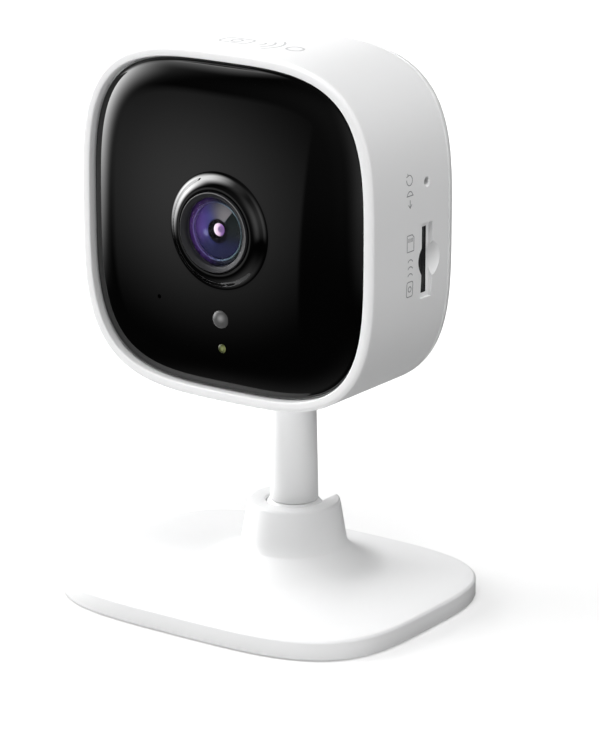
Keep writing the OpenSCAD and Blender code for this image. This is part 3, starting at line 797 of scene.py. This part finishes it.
def make_pivot_ball():
    radius, flat_z, stem_r = 6.5, 15.4, 2.2
    top_angle = math.degrees(math.asin((flat_z - BALL_Z) / radius))
    profile = arc((0, BALL_Z), radius, -90, top_angle, 40)
    profile += [(stem_r, flat_z), (stem_r, BALL_HIGH[2] - 0.1), (stem_r - 0.1, BALL_HIGH[2]),
                (0.85, BALL_HIGH[2]), (0.85, BALL_HIGH[2] - 6), (0, BALL_HIGH[2] - 6)]
    obj = lathe_z("pivot_ball_turned", profile, closed=False)
    return dress(obj, "white_shell", "pivot", "pivot_ball")


def make_post():
    low, high = POST_LOW[2], POST_HIGH[2]
    flange_z, bore_r, web_z, stem_r = 39.98, 2.95, 22.77, 2.27
    profile = [(3.8, low), (4.02, low)] + arc((4.02, low + 0.25), 0.25, -90, 0, 5)
    steps = 12
    for k in range(1, steps + 1):
        profile.append((4.27 - 0.44 * k / steps, low + 0.25 + (flange_z - low - 0.25) * k / steps))
    profile += [(3.83, high), (bore_r, high), (bore_r, web_z), (stem_r, web_z),
                (stem_r, low + 0.38), (3.8, low + 0.38)]
    obj = lathe_z("stand_post_tube", profile)
    return dress(obj, "white_shell", "head", "stand_post")


# ---------- head ----------

def head_ring(inset, y, half=HEAD_R, square=HEAD_SQUARE):
    flat = rounded_square(half, half, square, inset)
    return np.column_stack([flat[:, 0], np.full(len(flat), y), LENS_Z + flat[:, 1]])


def side_x(z, half=HEAD_R):
    """X of the head's +X wall at a height."""
    return half * (1 - abs((z - LENS_Z) / half) ** HEAD_SQUARE) ** (1 / HEAD_SQUARE)


def make_head_shell():
    rim_round, inner_round, ledge_y = 0.8, 0.25, -10.9
    rear = HEAD_HIGH[1]
    profile = [(0.3, rear), (0.22, rear - 0.04), (0.0, rear - 0.25)]
    profile += [(0.0, y) for y in np.linspace(rear - 0.4, FRONT_Y + rim_round + 0.4, 8)]
    profile += arc((rim_round, FRONT_Y + rim_round), rim_round, 180, 270, 8)
    profile += arc((WALL - inner_round, FRONT_Y + inner_round), inner_round, 270, 360, 4)
    profile += [(WALL, ledge_y), (WALL + 1, ledge_y), (WALL + 1, ledge_y + 1), (WALL, ledge_y + 1),
                (WALL, rear)]
    obj = loft("head_shell_moulding", [head_ring(d, y) for d, y in profile], "closed")

    combine(obj, box_piece("recess", (HEAD_R - RECESS_DEPTH, SIDE_Y - RECESS_HALF_W, CARD_Z - RECESS_HALF_L),
                           (HEAD_R + 2, SIDE_Y + RECESS_HALF_W, CARD_Z + RECESS_HALF_L)))
    combine(obj, box_piece("slit", (HEAD_R - 4, SIDE_Y - SLOT_FRONT, CARD_Z - SLOT_HALF),
                           (HEAD_R - 0.5, SIDE_Y + SLOT_BACK, CARD_Z + SLOT_HALF)))
    scoop_r = 5.0
    scoop = [(0 if abs(a) == 90 else scoop_r * math.cos(math.radians(a)),
              SIDE_Y + 0.6 + scoop_r * math.sin(math.radians(a))) for a in range(-90, 91, 5)]
    combine(obj, lathe_y("scoop", scoop, HEAD_R + 3.8, CARD_Z, closed=False))
    hole = circle(1.0, 48)
    rings = [np.column_stack([np.full(48, x), SIDE_Y + r * hole[:, 0], RESET_Z + r * hole[:, 1]])
             for r, x in ((0.7, HEAD_R - 5), (0.7, HEAD_R - 0.35), (0.95, HEAD_R - 0.1), (1.0, HEAD_R + 2))]
    combine(obj, loft("pinhole", rings, "fans"))
    combine(obj, rod("post_hole", (0, STAND_Y), 3.95, HEAD_LOW[2] - 2, HEAD_LOW[2] + 4, 2, 96))
    return dress(obj, "white_shell", "head", "head_shell")


def make_slot_liner():
    """Black mouth of the card socket, flush with the floor of the recess, and the card with eased edges."""
    low, high = (SIDE_Y - SLOT_FRONT, CARD_Z - SLOT_HALF), (SIDE_Y + SLOT_BACK, CARD_Z + SLOT_HALF)
    liner = box_piece("slot_liner", (HEAD_R - 2.4, low[0], low[1]), (HEAD_R - RECESS_DEPTH, high[0], high[1]))
    combine(liner, box_piece("mouth", (HEAD_R - 4, CARD_LOW[1] - 0.12, CARD_LOW[2] - 0.08),
                             (HEAD_R, CARD_HIGH[1] + 0.12, CARD_HIGH[2] + 0.08)))
    round_edges(liner, lambda p: p[0] > HEAD_R - 0.85, 0.05, 2)
    dress(liner, "black_plastic", "head")
    card = box_piece("memory_card_body", CARD_LOW, CARD_HIGH)
    round_edges(card, lambda p: True, 0.1, 3)
    dress(card, "card_black", "memory_card", "memory_card")


def make_rear_cover():
    inner_round = BACK_ROUND - COVER_WALL
    profile = [(13, REAR_Y), (8, REAR_Y)]
    profile += arc((BACK_ROUND, REAR_Y - BACK_ROUND), BACK_ROUND, 90, 170, 14)
    profile += [(0.04, SEAM_Y + 0.25), (0.22, SEAM_Y + 0.04), (0.3, SEAM_Y), (COVER_WALL, SEAM_Y)]
    profile += arc((BACK_ROUND, REAR_Y - BACK_ROUND), inner_round, 172, 90, 8)
    profile += [(8, REAR_Y - COVER_WALL), (13, REAR_Y - COVER_WALL)]
    obj = loft("rear_cover_moulding", [head_ring(d, y) for d, y in profile], "fans")

    speaker_z = (SPEAKER_LOW[2] + SPEAKER_HIGH[2]) / 2
    jack_z = (JACK_LOW[2] + JACK_HIGH[2]) / 2
    combine(obj, rod("grille_dish", (0, speaker_z), 9.0, REAR_Y - 0.25, REAR_Y + 1, 1, 96))
    cutters = [rod("well", (0, jack_z), 4.6, REAR_Y - 5, REAR_Y + 1, 1, 96)]
    cutters += [rod("seat", place, 2.2, REAR_Y - 5, REAR_Y + 1, 1, 64) for place in SCREW_PLACES]
    pitch, hole_r = 2.3, 0.55
    for ring in range(4):
        for k in range(max(1, 6 * ring)):
            a = math.radians(60 * k / max(1, ring))
            place = (pitch * ring * math.cos(a), speaker_z + pitch * ring * math.sin(a))
            cutters.append(rod("sound_hole", place, hole_r, REAR_Y - 5, REAR_Y + 1, 1, 24))
    cutters.append(rod("post_hole", (0, STAND_Y), 3.95, 30, 42, 2, 96))
    combine(obj, join("cutters", cutters))

    tube = [(1.25, 11.3), (1.25, 8), (3.2, 8), (3.2, 12.2), (2.2, 12.2), (2.2, 11.3)]
    bosses = [lathe_y("boss", tube, x, z, count=64) for x, z in SCREW_PLACES]
    collar = [(4.6, 11.5), (5.9, 11.5), (5.9, 12.2), (4.6, 12.2)]
    bosses.append(lathe_y("well_collar", collar, 0, jack_z, count=96))
    inside = join("rear_cover_bosses", bosses)
    shade(inside)
    dress(inside, "white_shell", "head")
    return dress(obj, "white_shell", "head", "rear_cover")


def make_rear_screws():
    """Four pan-head screws with a cross recess."""
    top, seat = SCREWS_HIGH[1], SCREWS_HIGH[1] - 1.3
    screws = []
    for x, z in SCREW_PLACES:
        profile = [(0, SCREWS_LOW[1]), (0.6, SCREWS_LOW[1] + 0.2), (1.05, SCREWS_LOW[1] + 1.2)]
        for k in range(14):
            y = SCREWS_LOW[1] + 1.6 + k * 0.6
            profile += [(1.1, y), (0.85, y + 0.3)]
        profile += [(1.0, seat), (1.8, seat), (SCREW_HEAD_R, seat + 0.12), (SCREW_HEAD_R, seat + 0.7)]
        profile += arc((1.2, seat + 0.7), 0.7, 0, 80, 6)
        profile += [(0.6, top), (0, top)]
        screw = lathe_y("screw", [(r, min(y, top)) for r, y in profile], x, z, closed=False, count=48)
        for half_x, half_z in ((1.05, 0.2), (0.2, 1.05)):
            combine(screw, box_piece("cross", (x - half_x, top - 0.6, z - half_z),
                                     (x + half_x, top + 1, z + half_z)))
        screws.append(screw)
    obj = join("rear_screws_cross_head", screws)
    shade(obj)
    return dress(obj, "steel", "head", "rear_screws")


# ---------- front panel ----------

PANEL_HALF = (PANEL_HIGH[0] - PANEL_LOW[0]) / 2 - 0.2   # leaves a fine dark groove inside the rim
PANEL_SQUARE = 3.57
DOME_R, CROWN = 270.0, 14.35
BORDER = 6.0               # width over which the panel rolls over to its edge
PANEL_EDGE_Y = FRONT_Y + 1.5
BOSS_FACE_Y = PANEL_LOW[1]
MOUTH_R = 7.0
BOSS_TILT = 42.0           # slant of the boss's side


def dome_y(x, z):
    """The panel's gentle dome at x and height z above the lens axis."""
    return -CROWN + (x * x + z * z) / (2 * DOME_R)


def dome_normal(point):
    """Outward normal of the dome."""
    return (point[0] / DOME_R, -1.0, (point[2] - LENS_Z) / DOME_R)


def boss_profile():
    """Mouth, flat face, rounded shoulder, slanted side and a fillet down to the dome."""
    top_round, foot_round = 2.2, 1.2
    slant = math.radians(BOSS_TILT)
    face = BOSS_FACE_Y
    profile = [(MOUTH_R, -13.0), (MOUTH_R, face + 0.15), (MOUTH_R + 0.05, face + 0.05),
               (MOUTH_R + 0.15, face)]
    profile += arc((7.45, face + top_round), top_round, -90, -BOSS_TILT, 14)
    r, y = profile[-1]
    centre_y = dome_y(10.0, 0.0) - foot_round
    run = (centre_y + foot_round * math.sin(slant) - y) * math.tan(slant)
    foot = arc((r + run + foot_round * math.cos(slant), centre_y), foot_round, 180 - BOSS_TILT, 90, 14)
    return profile + foot


def make_front_panel():
    edge = rounded_square(PANEL_HALF, PANEL_HALF, PANEL_SQUARE)
    angles = np.arctan2(edge[:, 1], edge[:, 0])
    rise = PANEL_EDGE_Y - dome_y(edge[:, 0], edge[:, 1])

    def turned(r, y):
        return np.column_stack([r * np.cos(angles), np.full(len(angles), y),
                                LENS_Z + r * np.sin(angles)])

    def on_dome(flat, push=0.0):
        return np.column_stack([flat[:, 0], dome_y(flat[:, 0], flat[:, 1]) + push, LENS_Z + flat[:, 1]])

    def outline(inset):
        return rounded_square(PANEL_HALF, PANEL_HALF, PANEL_SQUARE, inset)

    def flat_ring(inset, y):
        flat = outline(inset)
        return np.column_stack([flat[:, 0], np.full(len(flat), y), LENS_Z + flat[:, 1]])

    profile = boss_profile()
    rings = [turned(r, y) for r, y in profile]
    foot_r = profile[-1][0]
    inner_end = foot_r * np.column_stack([np.cos(angles), np.sin(angles)])
    outer_start = outline(BORDER)
    steps = 26
    for k in range(1, steps + 1):
        rings.append(on_dome(inner_end + (outer_start - inner_end) * k / steps))
    edge_round = 0.45
    for inset in np.linspace(BORDER, edge_round, 26)[1:]:
        rings.append(on_dome(outline(inset), rise * (1 - inset / BORDER) ** 2.7))
    rim_y = rings[-1][:, 1].mean()
    rings[-1][:, 1] = rim_y
    rings += [flat_ring(inset, y)
              for inset, y in arc((edge_round, rim_y + edge_round), edge_round, 255, 180, 5)]
    back_y = PANEL_HIGH[1] if PANEL_HIGH[1] < -10.5 else -10.9
    rings += [flat_ring(0.0, back_y), flat_ring(1.4, back_y)]
    rings.append(on_dome(outline(BORDER - 1), 1.9))
    rings.append(on_dome(inner_end, 1.5))
    rings.append(turned(MOUTH_R + 0.5, -12.6))
    obj = loft("front_panel_gloss", rings, "closed", 40)

    holes = ((WINDOW_LOW, WINDOW_HIGH, 1.65), (STATUS_LOW, STATUS_HIGH, 0.85), (MIC_LOW, MIC_HIGH, 0.38))
    cutters = [rod("hole", middle_xz(low, high), r, -20, -5, 1, 48) for low, high, r in holes]
    combine(obj, join("cutters", cutters), sharp=40)

    def exact(point, face_normal):
        x, z = point[0], point[2] - LENS_Z
        beyond_foot = math.hypot(x, z) >= foot_r - 0.01
        if face_normal[1] <= -0.9 and beyond_foot and abs(point[1] - dome_y(x, z)) <= 0.0005:
            return dome_normal(point)
        return None

    set_normals(obj, exact)
    return dress(obj, "panel_gloss", "head", "front_panel")


def make_windows():
    """The light sensor's smoky dome and the status light."""
    for name, low, high, slot, node, sag in (
            ("light_window_dome", WINDOW_LOW, WINDOW_HIGH, "light_window_grey", "light_window", 0.75),
            ("status_light_dome", STATUS_LOW, STATUS_HIGH, "status_light", "status_light_pipe", 0.4)):
        x, z = middle_xz(low, high)
        radius = (high[0] - low[0]) / 2
        rim_y = dome_y(x, z - LENS_Z) + 0.12
        profile = [(0, high[1]), (radius, high[1]), (radius, rim_y + 0.05)]
        profile += [(radius * math.cos(a), rim_y - sag * math.sin(a))
                    for a in np.radians(np.linspace(4, 90, 12))]
        profile[-1] = (0, profile[-1][1])
        obj = lathe_y(name, profile, x, z, closed=False, sharp=50, count=64)
        dress(obj, slot, "head", node)


# ---------- printed marks: plain pictograms ----------

def on_side(p):
    """A point of the +X wall from (y, z), and its outward direction."""
    return np.array([side_x(p[1]), p[0], p[1]]), np.array([1.0, 0, 0])


def on_top(p):
    """A point of the head's top from (x, y), and its outward direction."""
    return np.array([p[0], p[1], LENS_Z + side_x(LENS_Z + p[0])]), np.array([0, 0, 1.0])


def stroke(place, line, width, closed=False):
    """A thin raised line of even width along flat points, laid on the shell."""
    line = np.array(line, float)
    fine = []
    for k in range(len(line) if closed else len(line) - 1):
        start, end = line[k], line[(k + 1) % len(line)]
        parts = max(1, round(np.linalg.norm(end - start) / 0.4))
        fine += [start + (end - start) * i / parts for i in range(parts)]
    line = np.array(fine if closed else fine + [line[-1]])
    rings = []
    for k, p in enumerate(line):
        before = line[k - 1] if closed or k else p
        after = line[(k + 1) % len(line)] if closed or k < len(line) - 1 else p
        along = (after - before) / np.linalg.norm(after - before)
        across = np.array([-along[1], along[0]]) * width / 2
        corners = []
        for side, lift in ((1, -0.05), (1, 0.012), (-1, 0.012), (-1, -0.05)):
            point, out = place(p + side * across)
            corners.append(point + out * lift)
        rings.append(np.array(corners))
    return loft("stroke", rings, "closed" if closed else "fans", 20)


def bow(centre, radius, start, end, steps=24):
    """Points of a round line between two angles."""
    return arc(centre, radius, start, end, steps)


def rounded_box(low, high, radius):
    """Points of a closed box with round corners."""
    points = []
    for cx, cy, start in ((high[0] - radius, high[1] - radius, 0), (low[0] + radius, high[1] - radius, 90),
                          (low[0] + radius, low[1] + radius, 180), (high[0] - radius, low[1] + radius, 270)):
        points += arc((cx, cy), radius, start, start + 90, 5)
    return points


def make_printed_marks():
    """Arrows and a bell by the reset hole, a card, waves and a box by the slot, a small camera on top."""
    thin, y, z = 0.16, -2.0, 78.9
    reset = [stroke(on_side, line, thin) for line in (
        bow((y, z), 0.85, 120, -190),
        [(y - 0.85, z + 0.65), (y - 0.42, z + 0.74), (y - 0.36, z + 1.18)],
        bow((y, 76.3), 0.75, 0, 180),
        [(y - 1.0, 76.3), (y + 1.0, 76.3)],
        [(y, 75.6), (y, 74.2)],
        [(y - 0.5, 74.8), (y, 74.2), (y + 0.5, 74.8)])]
    dress(join("reset_mark", reset), "white_shell", "head", material=MATERIALS["printed_mark"])

    y = -1.85
    outline = [(y - 1.0, 69.6), (y + 0.5, 69.6), (y + 1.0, 69.1), (y + 1.0, 66.8), (y - 1.0, 66.8)]
    card = [stroke(on_side, outline, thin, True)]
    card += [stroke(on_side, [(y - 0.55 + 0.37 * k, 69.1), (y - 0.55 + 0.37 * k, 68.4)], thin)
             for k in range(4)]
    card += [stroke(on_side, bow((y, z0), 0.8, 150, 30), thin) for z0 in (64.6, 63.4, 62.2)]
    card += [stroke(on_side, rounded_box((y - 0.9, 59.0), (y + 0.9, 61.6), 0.4), thin, True),
             stroke(on_side, bow((y, 60.3), 0.45, 0, 345), thin, True)]
    dress(join("card_mark", card), "white_shell", "head", material=MATERIALS["printed_mark"])

    thick = 0.4
    camera = [stroke(on_top, rounded_box((-6.4, -5.7), (-0.6, -2.2), 1.0), thick, True),
              stroke(on_top, bow((-3.5, -3.95), 0.95, 0, 345), thick, True)]
    camera += [stroke(on_top, bow((0.9, -3.95), r, -48, 48), thick) for r in (1.3, 2.9, 4.5)]
    camera += [stroke(on_top, rounded_box((7.0, -5.4), (9.9, -2.5), 1.4), thick, True)]
    dress(join("top_mark", camera), "white_shell", "head", material=MATERIALS["pale_mark"])


# ---------- lens ----------

def cap(radius, sphere, apex, steps=24):
    """Points of a spherical surface from its edge to its apex."""
    return [(r, apex + sphere - math.sqrt(sphere ** 2 - r ** 2)) for r in np.linspace(radius, 0, steps)]


def make_lens():
    """Turned ring and front glass, with the retaining ring, the inner lens with painted reflections and a bead of
    painted, glowing highlight behind the glass.
    """
    front = LENS_RING_LOW[1]
    ring = [(5.95, -14.3), (5.95, front + 0.5), (6.0, front + 0.4), (6.35, front + 0.14),
            (6.62, front + 0.08)]
    ring += arc((6.76, front + 0.12), 0.12, -110, 0, 6)
    ring += [(6.88, -14.3)]
    dress(lathe_y("lens_ring_turned", ring, sharp=50), "lens_ring_black", "head", "lens_ring")

    glass = [(r, y) for r, y in reversed(cap(5.9, 20.0, front + 0.55))] + cap(5.9, 20.0, front + 0.1)
    front_glass = lathe_y("front_lens_glass", glass, closed=False, sharp=60)
    front_glass.visible_shadow = False
    dress(front_glass, "lens_glass", "head", "front_lens")

    retainer = [(5.88, -14.0), (5.88, -14.5), (5.0, -14.66)] + arc((4.95, -14.58), 0.08, -100, -200, 5)
    retainer += [(4.86, -14.0)]
    dress(lathe_y("lens_retainer", retainer, sharp=50), "black_plastic", "head",
          material=retainer_material())

    # the inner lens, which carries the painted reflections and the pupil's painted shade
    inner = [(0, -13.6), (4.8, -13.6)] + cap(4.8, 40.0, -14.45)
    dress(lathe_y("coated_lens", inner, closed=False, sharp=60), "lens_glass", "head",
          material=painted_reflection_material())

    # a bead that stands in for a painted highlight deep in the lens
    bead = [(0, -14.4)]
    bead += [(1.12 * math.cos(a), -14.44 - 0.16 * math.sin(a)) for a in np.radians(range(0, 91, 10))]
    bead[-1] = (0, bead[-1][1])
    dress(lathe_y("lens_glint_bead", bead, 0.3, LENS_Z + 0.3, closed=False, sharp=60, count=64), "lens_glass",
          "head", material=glint_bead_material())


for make in (make_camera, make_stage, dress_cad_nodes, make_base_shell, make_pivot_ball, make_post,
             make_head_shell, make_slot_liner, make_rear_cover, make_rear_screws, make_front_panel,
             make_windows, make_printed_marks, make_lens):
    make()
